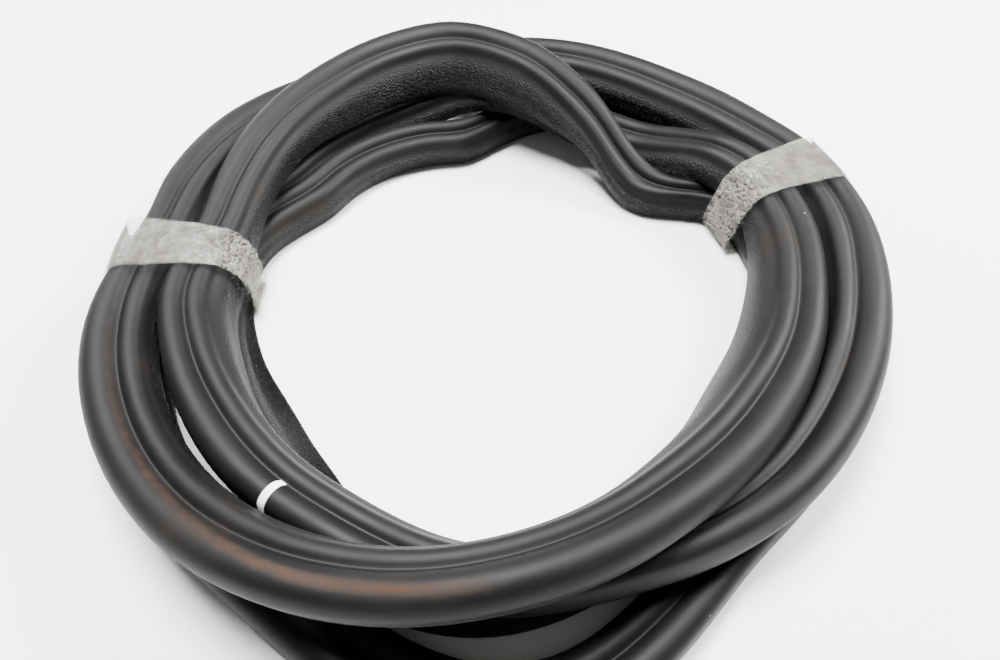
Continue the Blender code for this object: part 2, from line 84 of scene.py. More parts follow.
# Lay of the seal, one row for each place where it is steered: angle round the coil,
# bulb centre outside the ring radius, height in tiers, roll in degrees, width of the
# bulb as a share of its free width, and how far the lip is tucked in.
LAY = [
    # front, from outer top over the crossing to inner top
    (171, 18, 1, 0, .62, .9),
    (183, 25, 1, 0, .8, .9),
    (195, 30, 1, 0, 1, .9),
    (210, 31, 1, 0, 1, .8),
    (225, 30, 1.2, 0, 1, .8),
    (240, 28, 1.7, 8, 1, .9),
    (255, 23, 1.97, 15, 1, 1),
    (270, 15, 2.1, 18, 1, 1),
    (285, 6, 2.0, 15, 1, 1),
    (300, -2, 1.75, 8, 1, .7),
    (312, -5, 1.5, 3, 1, .4),
    (325, -6, 1.3, 0, .95, .1),
    (340, -3, 1.1, 0, .85, .1),
    (350, -1, 1, 0, .78, .3),
    (365, 1, 1, 0, .75, .6),
    (382, 4, 1, 0, .75, .9),
    # back, from inner top down to outer bottom
    (395, 6, 1, 0, .62, .9),
    (404, 6, .6, 0, .62, .9),
    (412, 5, .15, 0, .62, 1),
    (425, 0, .1, 0, .62, 1),
    (438, -4, .6, 0, .62, 1),
    (450, -3, .95, 0, .62, 1),
    (460, 3, .9, 0, .62, .95),
    (470, 10, .45, 0, .62, .9),
    (485, 16, .1, 0, .62, .95),
    (500, 19, 0, 0, .62, 1),
    (518, 20, 0, 0, .62, 1),
    (531, 18, 0, 0, .62, 1),
    # front, outer bottom, splayed away from the bundle in the middle
    (545, 23, 0, 0, .7, 1),
    (565, 28, 0, 0, .75, 1),
    (585, 28, 0, 0, .8, 1),
    (597, 27, 0, 0, .9, 1),
    (607, 32, 0, 0, 1, 1),
    (618, 41, 0, 0, 1, 1),
    (630, 48, 0, 0, 1, 1),
    (641, 43, 0, 0, 1, 1),
    (651, 29, 0, 0, .9, 1),
    (660, 20, 0, 0, .8, 1),
    (670, 14, 0, 0, .7, 1),
    (683, 16, 0, 0, .7, 1),
    (697, 22, 0, 0, .75, 1),
    (712, 31, 0, 0, .8, 1),
    (727, 34, 0, 0, .75, 1),
    (742, 33, 0, 0, .75, 1),
    # back, from outer bottom to inner bottom
    (760, 33, 0, 0, .62, 1),
    (770, 31, 0, 0, .62, 1),
    (782, 20, 0, 0, .62, 1),
    (793, 13, 0, 0, .62, 1),
    (804, 5, 0, 0, .62, 1),
    (815, -1, 0, 0, .62, 1),
    (828, -4, 0, 0, .62, 1),
    (840, -5, 0, 0, .62, 1),
    (855, -6, 0, 0, .62, 1),
    (870, -5, 0, 0, .62, 1),
    (891, -8, 0, 0, .62, 1),
    # front, inner bottom, with the lip spread at the left
    (903, -7, 0, 0, .62, .9),
    (917, -7, 0, 0, .62, .7),
    (932, -7, .05, -8, .62, .5),
    (947, -3, .1, -10, .62, .4),
    (960, 3, 0, 0, .62, .7),
    (973, 11, 0, 0, .62, 1),
    (985, 13, 0, 0, .62, 1),
    (998, 8, 0, 0, .62, 1),
    (1011, 0, 0, 0, .62, 1),
    (1024, -7, 0, 0, .62, 1),
    (1037, -10, 0, 0, .62, 1),
    (1050, -10, 0, 0, .62, 1),
    (1080, -2, 0, 0, .7, 1),
    (1102, 0, 0, 0, .75, 1),
    # back, from inner bottom over the top of the others to inner top
    (1115, -10, 0, 0, .62, 1),
    (1130, -17, .25, 10, .62, 1),
    (1140, -14, .8, 12, .72, 1),
    (1150, -9, 1.25, 10, .92, .8),
    (1158, -4, 1.6, 3, 1, .6),
    (1166, 0, 1.85, 0, 1, .3),
    (1174, 12, 1.85, 0, 1, .4),
    (1182, 20, 1.7, 0, 1, .5),
    (1192, 23, 1.5, 0, 1, .6),
    (1203, 18, 1.38, 0, 1, .7),
    (1215, 13, 1.28, 0, .95, .8),
    (1230, 6, 1.1, 0, .85, .9),
    (1240, 0, 1, 0, .75, .9),
    (1251, -8, 1, 0, .62, .9),
    # front, from inner top under the crossing to outer top
    (1265, -2, 1.03, 0, .68, .5),
    (1280, 1, 1.05, 0, .75, .5),
    (1295, 5, 1.02, 0, .85, .8),
    (1307, 10, 1, 0, .85, .9),
    (1318, 12, .95, 0, .75, .9),
    (1330, 14, .95, 0, .75, .9),
    (1350, 14, 1, 0, .8, .9),
    (1368, 10, 1.05, 8, .8, 1),
    (1383, 12, 1.05, 15, .8, 1),
    (1395, 14, 1, 18, .9, .9),
    (1410, 16, .95, 18, .95, .9),
    (1425, 20, 1, 12, .95, .9),
    (1440, 26, 1, 6, .9, .9),
    (1450, 30, 1, 0, .8, .9),
    (1462, 31, 1, 0, .75, .9),
    # back, outer top, dipping where another strand crosses over it
    (1475, 25, 1, 0, .85, .9),
    (1490, 22, 1, 0, .95, .9),
    (1500, 20, 1.08, 0, .9, .9),
    (1512, 21, 1.12, 0, .85, .9),
    (1524, 25, .98, 0, .8, .9),
    (1535, 30, .7, 0, .85, .9),
    (1548, 33, .46, 0, .9, .9),
    (1560, 34, .5, 0, .9, .9),
    (1572, 31, .72, 0, .9, .9),
    (1586, 27, .95, 0, .85, .9),
    (1602, 22, 1, 0, .75, .9),
]


def lay_value(angle, column):
    """Periodic monotone cubic through one column of LAY."""
    period = 360.0 * TURNS
    count = len(LAY)

    def knot(i):
        return LAY[i % count][0] + period * (i // count)

    def value(i):
        return LAY[i % count][column]

    def slope(i):
        before = (value(i) - value(i - 1)) / (knot(i) - knot(i - 1))
        after = (value(i + 1) - value(i)) / (knot(i + 1) - knot(i))
        if before * after <= 0:
            return 0.0
        return 2 * before * after / (before + after)

    angle = (angle - LAY[0][0]) % period + LAY[0][0]
    i = max(j for j in range(count) if LAY[j][0] <= angle + 1e-9)
    span = knot(i + 1) - knot(i)
    u = (angle - knot(i)) / span
    start = (2 * u**3 - 3 * u**2 + 1) * value(i) + (u**3 - 2 * u**2 + u) * span * slope(i)
    end = (3 * u**2 - 2 * u**3) * value(i + 1) + (u**3 - u**2) * span * slope(i + 1)
    return start + end


def turned(points, roll):
    """Points (n, 2) or (n, k, 2) turned by each station's roll."""
    cosine, sine = np.cos(roll), np.sin(roll)
    if points.ndim == 3:
        cosine, sine = cosine[:, None], sine[:, None]
    x, y = points[..., 0], points[..., 1]
    return np.stack([x * cosine - y * sine, x * sine + y * cosine], axis=-1)


def near_tape(angles, flat, fade):
    """1 within flat degrees of a tape, falling to 0 over the next fade degrees."""
    near = np.zeros(len(angles))
    for tape_angle in TAPE_ANGLES.values():
        away = np.abs((angles - tape_angle + 180) % 360 - 180)
        near = np.maximum(near, np.clip((flat + fade - away) / fade, 0, 1))
    return near


def floor_height(angles):
    """Lowest height for the seal: on the floor, or on the tape where it is wrapped."""
    wrap = TAPE_THICKNESS + TAPE_CLEARANCE
    return .3 + (wrap - .3) * near_tape(angles, 12, 8)


def section_discs(share):
    """Three discs for the bulb and three for the clamp, as (across, up, radius)."""
    half = BULB_RADIUS * share
    rise = BULB_RADIUS - half
    gap = half + CLAMP_RADIUS - CLAMP_SINK
    middle = (CROWN_RISE - LEG_DROP) / 2
    return [
        (0, rise, half),
        (0, 0, half),
        (0, -rise, half),
        (-gap, CROWN_RISE, CLAMP_RADIUS),
        (-gap, middle, CLAMP_RADIUS),
        (-gap, -LEG_DROP, CLAMP_RADIUS),
    ]


class Lay:
    """Where each station's section stands: centre, roll, bulb share and lip nodes."""

    def __init__(self):
        count = STATIONS_PER_TURN * TURNS
        self.angles = START_ANGLE + np.arange(count) * 360.0 / STATIONS_PER_TURN
        rows = np.array([[lay_value(a, c) for c in range(1, 6)] for a in self.angles])
        self.goal = np.stack([RING_RADIUS + rows[:, 0],
                              FIRST_TIER + TIER_PITCH * rows[:, 1]], axis=1)
        self.goal_roll = np.radians(rows[:, 2])
        self.share = np.clip(rows[:, 3], .5, 1)
        tuck = np.clip(rows[:, 4], 0, 1)
        self.centre = self.goal.copy()
        self.roll = self.goal_roll.copy()
        self.discs = np.array([section_discs(s) for s in self.share])
        self.gap = -self.discs[:, 3, 0]
        self.root = np.stack([-self.gap - CLAMP_RADIUS + .2,
                              np.full(count, CROWN_RISE - 1.2)], axis=1)
        self.step = LIP_LENGTH / LIP_NODES * (1 - LIP_FOLD * np.clip((tuck - .6) / .4, 0, 1))
        self.rest = self.lip_at_rest(tuck)
        self.lip = self.centre[:, None] + turned(self.rest, self.roll)
        self.half_lip = np.linspace(LIP_ROOT_THICKNESS, LIP_TIP_THICKNESS, LIP_NODES) / 2
        self.floor = floor_height(self.angles)
        self.hold = .12 * near_tape(self.angles, 5, 9)
        self.settle()

    def lip_at_rest(self, tuck):
        """Lip nodes in the section's own axes, spread where tuck is 0, hanging where 1."""
        spread = np.radians([22, 32, 42, 52, 62])
        hanging = np.radians([25, 82, 95, 100, 100])
        rest = np.zeros((len(tuck), LIP_NODES, 2))
        point = self.root.copy()
        for k in range(LIP_NODES):
            heading = spread[k] + (hanging[k] - spread[k]) * tuck
            ahead = np.stack([-np.cos(heading), -np.sin(heading)], axis=1)
            point = point + self.step[:, None] * ahead
            rest[:, k] = point
        return rest

    def pushes(self, centres, radii):
        """Push on each disc, taken in the planes and at steps between them."""
        push = self.plane_pushes(centres, radii, self.floor) * .4
        for share in (.25, .5, .75):
            between = self.plane_pushes(
                centres * (1 - share) + np.roll(centres, -1, 0) * share,
                radii * (1 - share) + np.roll(radii, -1, 0) * share,
                self.floor * (1 - share) + np.roll(self.floor, -1) * share)
            push += .45 * ((1 - share) * between + share * np.roll(between, 1, 0))
        return push

    def plane_pushes(self, centres, radii, floor):
        """Push on each disc out of the discs of the other strands and off the floor."""
        push = np.zeros_like(centres)
        per = STATIONS_PER_TURN
        for a in range(TURNS):
            for b in range(a + 1, TURNS):
                first = slice(a * per, (a + 1) * per)
                second = slice(b * per, (b + 1) * per)
                away = centres[first][:, :, None] - centres[second][:, None]
                distance = np.linalg.norm(away, axis=-1) + 1e-9
                need = radii[first][:, :, None] + radii[second][:, None] + STRAND_CLEARANCE
                over = np.clip(need - distance, 0, None)
                force = away * (over / distance)[..., None] * .5
                push[first] += force.sum(2)
                push[second] -= force.sum(1)
        push[:, :, 1] += FLOOR_FORCE * np.clip(radii + floor[:, None] - centres[:, :, 1], 0, None)
        return push

    def settle(self, rounds=700):
        """Push the sections apart while the guides and the neighbours hold them."""
        body = self.discs.shape[1]
        lips = np.broadcast_to(self.half_lip, (len(self.angles), LIP_NODES))
        radii = np.concatenate([self.discs[:, :, 2], lips], axis=1)
        for turn in range(rounds):
            ease = max(0.0, 1 - turn / (rounds * .6))
            arm = turned(self.discs[:, :, :2], self.roll)
            centres = np.concatenate([self.centre[:, None] + arm, self.lip], axis=1)
            push = self.pushes(centres, radii)
            own = centres[:, body:, None] - centres[:, None, :body]
            distance = np.linalg.norm(own, axis=-1) + 1e-9
            need = radii[:, body:, None] + radii[:, None, :body] + STRAND_CLEARANCE
            over = np.clip(need - distance, 0, None)
            over[:, 0] = 0
            push[:, body:] += (own / distance[..., None] * over[..., None]).sum(2)
            held = push[:, :body]
            moment = (arm[..., 0] * held[..., 1] - arm[..., 1] * held[..., 0]).sum(1)
            self.centre += .45 * held.sum(1)
            self.roll += .45 * moment / 600
            self.lip += .45 * push[:, body:]
            pull = .03 * ease + self.hold
            self.centre += pull[:, None] * (self.goal - self.centre)
            self.roll += pull * (self.goal_roll - self.roll)
            self.even_out(.10 * ease + .001)
            self.pull_lip(.05)
        lowest = self.half_lip + self.floor[:, None]
        self.lip[:, :, 1] = np.maximum(self.lip[:, :, 1], lowest)

    def even_out(self, amount):
        """Spread the moves from the guides along the strand."""
        for _ in range(2):
            moved = self.centre - self.goal
            self.centre += amount * (np.roll(moved, 1, 0) + np.roll(moved, -1, 0) - 2 * moved)
            turned_by = self.roll - self.goal_roll
            self.roll += amount * (np.roll(turned_by, 1) + np.roll(turned_by, -1) - 2 * turned_by)

    def pull_lip(self, amount):
        """Spring the lip back to its own shape and keep its length."""
        want = self.centre[:, None] + turned(self.rest, self.roll)
        self.lip += amount * (want - self.lip)
        beside = self.lip - self.centre[:, None]
        self.lip += .1 * (np.roll(beside, 1, 0) + np.roll(beside, -1, 0) - 2 * beside)
        before = self.centre + turned(self.root, self.roll)
        course = self.roll + math.pi + math.radians(40)
        for k in range(LIP_NODES):
            ahead = self.lip[:, k] - before
            bend = np.arctan2(ahead[:, 1], ahead[:, 0]) - course
            bend = (bend + math.pi) % (2 * math.pi) - math.pi
            course = course + np.clip(bend, -LIP_BEND, LIP_BEND)
            ahead = np.stack([np.cos(course), np.sin(course)], axis=1)
            self.lip[:, k] = before + ahead * self.step[:, None]
            before = self.lip[:, k]

    def outline(self, i):
        """Closed outline of station i's section as (radius, height), counterclockwise."""
        local = section_outline(self.share[i], self.local_lip(i), self.half_lip)
        cosine, sine = math.cos(self.roll[i]), math.sin(self.roll[i])
        r, z = self.centre[i]
        return [(r + a * cosine - b * sine, z + a * sine + b * cosine) for a, b in local]

    def outline_at(self, angle):
        """Outline at any angle, on the straight faces between the two stations beside it."""
        place = (angle - START_ANGLE) % (360 * TURNS) * STATIONS_PER_TURN / 360
        i = int(place)
        share = place - i
        first, second = self.outline(i), self.outline((i + 1) % len(self.angles))
        half = math.pi / STATIONS_PER_TURN
        straight = math.cos(half) / math.cos(half * (1 - 2 * share))
        return [((r0 + (r1 - r0) * share) * straight, z0 + (z1 - z0) * share)
                for (r0, z0), (r1, z1) in zip(first, second)]

    def local_lip(self, i):
        """Lip nodes of station i in the section's own axes."""
        cosine, sine = math.cos(self.roll[i]), math.sin(self.roll[i])
        away = self.lip[i] - self.centre[i]
        return [(x * cosine + y * sine, -x * sine + y * cosine) for x, y in away]


def disc_meeting(first, second, upper):
    """Where two discs' circles cross, the upper or the lower of the two points."""
    (x0, y0, r0), (x1, y1, r1) = first, second
    dx, dy = x1 - x0, y1 - y0
    d = math.hypot(dx, dy)
    along = (r0 * r0 - r1 * r1 + d * d) / (2 * d)
    side = math.sqrt(max(r0 * r0 - along * along, 0))
    mx, my = x0 + dx * along / d, y0 + dy * along / d
    points = [(mx - dy * side / d, my + dx * side / d), (mx + dy * side / d, my - dx * side / d)]
    return max(points, key=lambda p: p[1]) if upper else min(points, key=lambda p: p[1])


def arc(disc, start, end, steps):
    """Points on a disc's edge between two angles in degrees, both ends included."""
    x, y, radius = disc
    angles = [math.radians(start + (end - start) * k / steps) for k in range(steps + 1)]
    return [(x + radius * math.cos(t), y + radius * math.sin(t)) for t in angles]


def bearing(disc, point):
    """Angle in degrees from a disc's centre to a point."""
    return math.degrees(math.atan2(point[1] - disc[1], point[0] - disc[0]))


def section_outline(share, lip, half_lip):
    """Outline of the section in its own axes: across is away from the lip, up is the crown."""
    top, _, bottom, crown, _, leg = section_discs(share)
    gap = -crown[0]
    skin = BEAD_HEIGHT
    top = (top[0], top[1], top[2] - skin)
    bottom = (bottom[0], bottom[1], bottom[2] - skin)
    slot = SLOT_WIDTH / 2
    mouth = -LEG_DROP - math.sqrt(CLAMP_RADIUS**2 - slot**2)
    roof = -LEG_DROP - CLAMP_RADIUS + SLOT_DEPTH
    under = disc_meeting(leg, bottom, False)
    over = disc_meeting(crown, top, True)
    points = [(-gap + slot, roof), (-gap + slot, mouth)]
    points += arc(leg, -50, bearing(leg, under), 1)
    bead = -48
    points += arc(bottom, bearing(bottom, under), bead - 9, 3)[1:]
    points.append(((bottom[2] + skin) * math.cos(math.radians(bead)),
                   bottom[1] + (bottom[2] + skin) * math.sin(math.radians(bead))))
    points += arc(bottom, bead + 9, 0, 2)
    points += arc(top, 0 if share > .999 else 4, bearing(top, over), 6)[1:]
    points += arc(crown, bearing(crown, over), 172, 4)[1:]
    root = (-gap - CLAMP_RADIUS + .2, CROWN_RISE - 1.2)
    nodes = [root] + list(lip)
    upper, lower = [], []
    for k in range(1, len(nodes)):
        before = nodes[k - 1]
        after = nodes[min(k + 1, len(nodes) - 1)]
        dx, dy = after[0] - before[0], after[1] - before[1]
        length = math.hypot(dx, dy) or 1
        nx, ny = dy / length, -dx / length
        half = half_lip[k - 1]
        upper.append((nodes[k][0] + nx * half, nodes[k][1] + ny * half))
        lower.append((nodes[k][0] - nx * half, nodes[k][1] - ny * half))
    points += upper
    points += lower[::-1]
    points.append((-gap - CLAMP_RADIUS + .02, CROWN_RISE - 3.2))
    points += arc(leg, 180, 250, 2)
    points += [(-gap - slot, mouth), (-gap - slot, roof)]
    return points


def at_angle(angle, outline):
    """Outline of a radial plane as points in space, in metres."""
    cosine, sine = math.cos(math.radians(angle)), math.sin(math.radians(angle))
    return [Vector((r * cosine, r * sine, z)) * MM for r, z in outline]


def ring_of(mesh, points):
    """Closed loop of edges through points."""
    verts = [mesh.verts.new(p) for p in points]
    return [mesh.edges.new((verts[k], verts[(k + 1) % len(verts)])) for k in range(len(verts))]


def loop_verts(edges):
    """Vertices of a closed loop in the order of its edges."""
    ordered = []
    for k, edge in enumerate(edges):
        following = edges[(k + 1) % len(edges)]
        ordered.append(edge.verts[0] if edge.verts[1] in following.verts else edge.verts[1])
    return ordered


def extrude_ring(mesh, edges, points):
    """Extrude a closed loop of edges onto new points, and return the new loop."""
    old = loop_verts(edges)
    made = bmesh.ops.extrude_edge_only(mesh, edges=edges)["geom"]
    fresh = {v for v in made if isinstance(v, bmesh.types.BMVert)}
    follow = {}
    for edge in made:
        if isinstance(edge, bmesh.types.BMEdge):
            a, b = edge.verts
            if (a in fresh) != (b in fresh):
                follow[b if a in fresh else a] = a if a in fresh else b
    verts = []
    for vert in old:
        if vert not in follow:
            for edge in vert.link_edges:
                other = edge.other_vert(vert)
                if other in fresh:
                    follow[vert] = other
        verts.append(follow[vert])
    for vert, point in zip(verts, points):
        vert.co = point
    return [mesh.edges.get((verts[k], verts[(k + 1) % len(verts)])) for k in range(len(verts))]


def convex_hull(points):
    """Counterclockwise convex hull of points in a plane."""
    points = sorted(set(points))

    def chain(ordered):
        out = []
        for p in ordered:
            while len(out) > 1:
                (ax, ay), (bx, by) = out[-2], out[-1]
                if (bx - ax) * (p[1] - ay) - (by - ay) * (p[0] - ax) > 0:
                    break
                out.pop()
            out.append(p)
        return out[:-1]

    return chain(points) + chain(points[::-1])


def grown(hull, distance):
    """Convex outline moved outward, with its edges resampled evenly by angle."""
    steps = 48
    out = []
    for k in range(steps):
        t = 2 * math.pi * k / steps
        nx, ny = math.cos(t), math.sin(t)
        out.append(((nx, ny), max(x * nx + y * ny for x, y in hull) + distance))
    corners = []
    for k in range(steps):
        (ax, ay), da = out[k]
        (bx, by), db = out[(k + 1) % steps]
        det = ax * by - ay * bx
        corners.append(((da * by - db * ay) / det, (ax * db - bx * da) / det))
    return corners


# Camera of the photograph, in the part's own frame: place, degrees down, lens and sensor in mm
CAMERA_PLACE = (-0.0014, -0.2609, 0.3294)
CAMERA_DOWN = 52.0
CAMERA_LENS = 30.6
CAMERA_SENSOR = 36.0

# Finer than the solids: rings for each station, and points round the section
RINGS_PER_STATION = 2
LIP_STEPS = 9

# Tape film: thickness in mm, and the rows of its mesh
FILM_THICKNESS = 0.12
FILM_AROUND = 260
FILM_ACROSS = 22
FILM_ROUNDING = 3

# How the film crumples: size of its facets, height of its creases, how far it stands off
# where it is slack, and how white it is where it lies flat
CREASE_SIZE = 5.0
CREASE_HEIGHT = .9
SLACK_HEIGHT = 1.1
EDGE_WAVE = .25
FLAT_WHITE = .62

# Side of the wrap that lies on the floor, as the film's outward direction
UNDERSIDE = -.6

# Windings of each wrap: growth over the hull, shift along the strands, width, tilt
WINDINGS = {
    "tape_wrap_left": [(.35, -1.6, 26, 1.2), (.6, 1.4, 26, -1.3), (.85, .2, 27, .5)],
    "tape_wrap_right": [(.35, 1.4, 26, -1.2), (.6, -1.5, 26, 1.3), (.85, 0, 27, -.4)],
}

# How strongly each part of the lip shows its leather grain
LIP_GRAIN = {"lip root": .15, "lip neck": .6, "lip": 1.0}

# Rust on the front strand: angle round the coil, bearing on the bulb, strength
RUST = [
    (184, 122, 0), (196, 128, .25), (210, 129, .35), (222, 127, .45), (232, 112, .55),
    (240, 102, .7), (248, 93, .95), (258, 90, 1), (266, 80, .8), (272, 72, 0),
]

# Paint mark across one strand: place along the whole length, half its width, and its reach
# round the section, all as shares
MARK_ALONG = .7942
MARK_HALF = .00045
MARK_FROM = .27
MARK_TO = .455

# Colours
RUBBER_BLACK = (.0023, .0022, .0023)
RUBBER_DUST = (.0080, .0062, .0046)
RUBBER_FINE_GREY = (.0062, .0060, .0058)
RUST_BROWN = (.040, .018, .0085)
SPECK_PALE = (.22, .21, .19)
PAINT_WHITE = (.82, .82, .80)
FILM_WHITE = (.36, .340, .312)
FLOOR_PALE = (.80, .79, .775)
FLOOR_PALER = (.86, .855, .84)

# Area lights: name, place, aim, size, power and colour
LIGHTS = [
    ("ceiling_light", (-.2, .3, 1.45), (0, .02, 0), (.75, .6), 128, (1, 1, 1)),
    ("left_window", (-.95, 1.15, .7), (0, 0, 0), (.7, .5), 22, (.97, .985, 1)),
    ("right_window", (1.05, .6, 1.0), (0, 0, 0), (.55, .45), 84, (1, .985, .96)),
]
ROOM_COLOUR = (1, .985, .965, 1)
ROOM_STRENGTH = .26


def add_camera():
    """The camera that sees the part as the photograph does."""
    data = bpy.data.cameras.new("photo_view")
    data.lens = CAMERA_LENS
    data.sensor_width = CAMERA_SENSOR
    data.clip_start = .01
    camera = bpy.data.objects.new("photo_view", data)
    camera.location = CAMERA_PLACE
    camera.rotation_euler = (math.radians(90 - CAMERA_DOWN), 0, 0)
    bpy.context.scene.collection.objects.link(camera)
    bpy.context.scene.camera = camera


def halfway(values):
    """Values with a smooth one put between each and the next, round the closed length."""
    before, after = np.roll(values, 1, 0), np.roll(values, -1, 0)
    beyond = np.roll(values, -2, 0)
    middle = (9 * (values + after) - before - beyond) / 16
    return np.stack([values, middle], axis=1).reshape((-1,) + values.shape[1:])


def lip_course(nodes):
    """Smooth course through the lip's nodes, as (point, heading, share of its length)."""
    out = []
    last = len(nodes) - 1
    for step in range(1, LIP_STEPS + 1):
        at = .35 + (last - .35) * step / LIP_STEPS
        k = min(int(at), last - 1)
        u = at - k
        p0 = nodes[max(k - 1, 0)]
        p1, p2 = nodes[k], nodes[k + 1]
        p3 = nodes[min(k + 2, last)]
        point, heading = [], []
        for a, b, c, d in zip(p0, p1, p2, p3):
            bend, slope = (c - a) / 2, (d - b) / 2
            cubic = 2 * b - 2 * c + bend + slope
            square = -3 * b + 3 * c - 2 * bend - slope
            point.append(((cubic * u + square) * u + bend) * u + b)
            heading.append((3 * cubic * u + 2 * square) * u + bend)
        length = math.hypot(*heading) or 1
        out.append((point, (heading[0] / length, heading[1] / length), at / last))
    return out


def fine_outline(share, lip, half_lip):
    """The section's outline with rounder arcs, a crisp bead and a smooth lip.

    Each point is (across, up, part of the section).
    """
    top, _, bottom, crown, _, leg = section_discs(share)
    gap = -crown[0]
    skin = BEAD_HEIGHT
    top = (top[0], top[1], top[2] - skin)
    bottom = (bottom[0], bottom[1], bottom[2] - skin)
    slot = SLOT_WIDTH / 2
    mouth = -LEG_DROP - math.sqrt(CLAMP_RADIUS**2 - slot**2)
    roof = -LEG_DROP - CLAMP_RADIUS + SLOT_DEPTH
    under = disc_meeting(leg, bottom, False)
    over = disc_meeting(crown, top, True)
    bead = -48
    right = [(-gap + slot - .5, roof), (-gap + slot, roof - .6), (-gap + slot, mouth + 2),
             (-gap + slot + .1, mouth + .3)]
    clamp = arc(leg, -64, bearing(leg, under), 3)
    low = arc(bottom, bearing(bottom, under), bead - 7, 5)[1:]
    ridge = [(bottom[0] + (bottom[2] + rise) * math.cos(math.radians(bead + turn)),
              bottom[1] + (bottom[2] + rise) * math.sin(math.radians(bead + turn)))
             for turn, rise in ((-3, .5 * skin), (-1, skin), (2, skin), (4, .4 * skin))]
    side = arc(bottom, bead + 8, 0, 4) + arc(top, 4, bearing(top, over), 9)[1:]
    head = arc(crown, bearing(crown, over), 172, 6)[1:]
    root = (-gap - CLAMP_RADIUS + .2, CROWN_RISE - 1.2)
    upper, lower = [], []
    course = lip_course([root] + list(lip))
    for (x, y), (dx, dy), along in course:
        half = half_lip[0] + (half_lip[-1] - half_lip[0]) * along
        upper.append((x + dy * half, y - dx * half))
        lower.append((x - dy * half, y + dx * half))
    (x, y), (dx, dy), _ = course[-1]
    tip = (x + dx * half_lip[-1] * .7, y + dy * half_lip[-1] * .7)
    back = [(-gap - CLAMP_RADIUS + .02, CROWN_RISE - 3.2)] + arc(leg, 180, 244, 3)
    left = [(-gap - slot - .1, mouth + .3), (-gap - slot, mouth + 2), (-gap - slot, roof - .6),
            (-gap - slot + .5, roof)]
    parts = [("slot", right), ("clamp", clamp), ("bulb", low + ridge + side), ("crown", head),
             ("lip root", upper[:1]), ("lip neck", upper[1:2]), ("lip", upper[2:] + [tip]),
             ("under", lower[::-1]), ("clamp", back), ("slot", left)]
    return [(a, b, part) for part, points in parts for a, b in points]


def rust_at(angle, spot):
    """Strength of the rust at an angle round the coil and a bearing on the bulb."""
    if not RUST[0][0] < angle < RUST[-1][0]:
        return 0.0
    k = max(j for j in range(len(RUST)) if RUST[j][0] <= angle)
    (a0, b0, s0), (a1, b1, s1) = RUST[k], RUST[k + 1]
    u = (angle - a0) / (a1 - a0)
    centre, strength = b0 + (b1 - b0) * u, s0 + (s1 - s0) * u
    away = (spot - centre + 180) % 360 - 180
    width = 21 - 9 * strength
    return strength * math.exp(-(away / width)**2)


def seal_rings(lay):
    """Fine rings of the whole length: points in space, and what each point is."""
    centre, roll = halfway(lay.centre), halfway(lay.roll)
    share, lip = halfway(lay.share), halfway(lay.lip)
    rings, facts = [], []
    step = 360.0 / STATIONS_PER_TURN / RINGS_PER_STATION
    for j in range(len(centre)):
        angle = START_ANGLE + step * j
        cosine, sine = math.cos(roll[j]), math.sin(roll[j])
        away = lip[j] - centre[j]
        local = [(x * cosine + y * sine, -x * sine + y * cosine) for x, y in away]
        outline = fine_outline(min(share[j], 1), local, lay.half_lip)
        placed, fact = [], []
        for a, b, part in outline:
            x, y = a * cosine - b * sine, a * sine + b * cosine
            placed.append((centre[j][0] + x, centre[j][1] + y))
            spot = math.degrees(math.atan2(y, x))
            rust = rust_at(angle, spot) if part == "bulb" else 0
            fact.append((LIP_GRAIN.get(part, 0.0), rust))
        rings.append(at_angle(angle, placed))
        facts.append(fact)
    return rings, facts


def make_seal(lay, shift):
    """The whole closed length as one lofted mesh with its UV map and attributes."""
    rings, facts = seal_rings(lay)
    count, around = len(rings), len(rings[0])
    mesh = bmesh.new()
    grain = mesh.verts.layers.float.new("grain")
    rust = mesh.verts.layers.float.new("rust")
    ring_no = mesh.verts.layers.int.new("ring_no")
    spot_no = mesh.verts.layers.int.new("spot_no")
    uv = mesh.loops.layers.uv.new("seal")

    def note(edges, j):
        """Move ring j to its place and write down what each of its points is."""
        for k, vert in enumerate(loop_verts(edges)):
            vert.co += shift
            vert[grain], vert[rust] = facts[j][k]
            vert[ring_no] = j
            vert[spot_no] = k

    first = ring_of(mesh, rings[0])
    edges = first
    loops = [first]
    for points in rings[1:]:
        edges = extrude_ring(mesh, edges, points)
        loops.append(edges)
    start, end = loop_verts(first), loop_verts(edges)
    for k in range(around):
        following = (k + 1) % around
        mesh.faces.new((end[k], end[following], start[following], start[k]))
    for j, edges in enumerate(loops):
        note(edges, j)
    bmesh.ops.recalc_face_normals(mesh, faces=mesh.faces)
    for face in mesh.faces:
        face.smooth = True
        rows = [loop.vert[ring_no] for loop in face.loops]
        spots = [loop.vert[spot_no] for loop in face.loops]
        over_row = max(rows) - min(rows) > 1
        over_spot = max(spots) - min(spots) > 1
        for loop, row, spot in zip(face.loops, rows, spots):
            row += count if over_row and row == 0 else 0
            spot += around if over_spot and spot == 0 else 0
            loop[uv].uv = (row / count, spot / around)
    seal = to_object("seal_skin", mesh)
    add_modifier(seal, "SUBSURF", levels=1, render_levels=1)
    return seal


def to_object(name, mesh):
    """Turn a working mesh into an object of the scene."""
    data = bpy.data.meshes.new(name)
    mesh.to_mesh(data)
    mesh.free()
    item = bpy.data.objects.new(name, data)
    bpy.context.scene.collection.objects.link(item)
    return item


def add_modifier(item, kind, **settings):
    """Give an object a modifier with these settings."""
    modifier = item.modifiers.new(kind.lower(), kind)
    for key, value in settings.items():
        setattr(modifier, key, value)


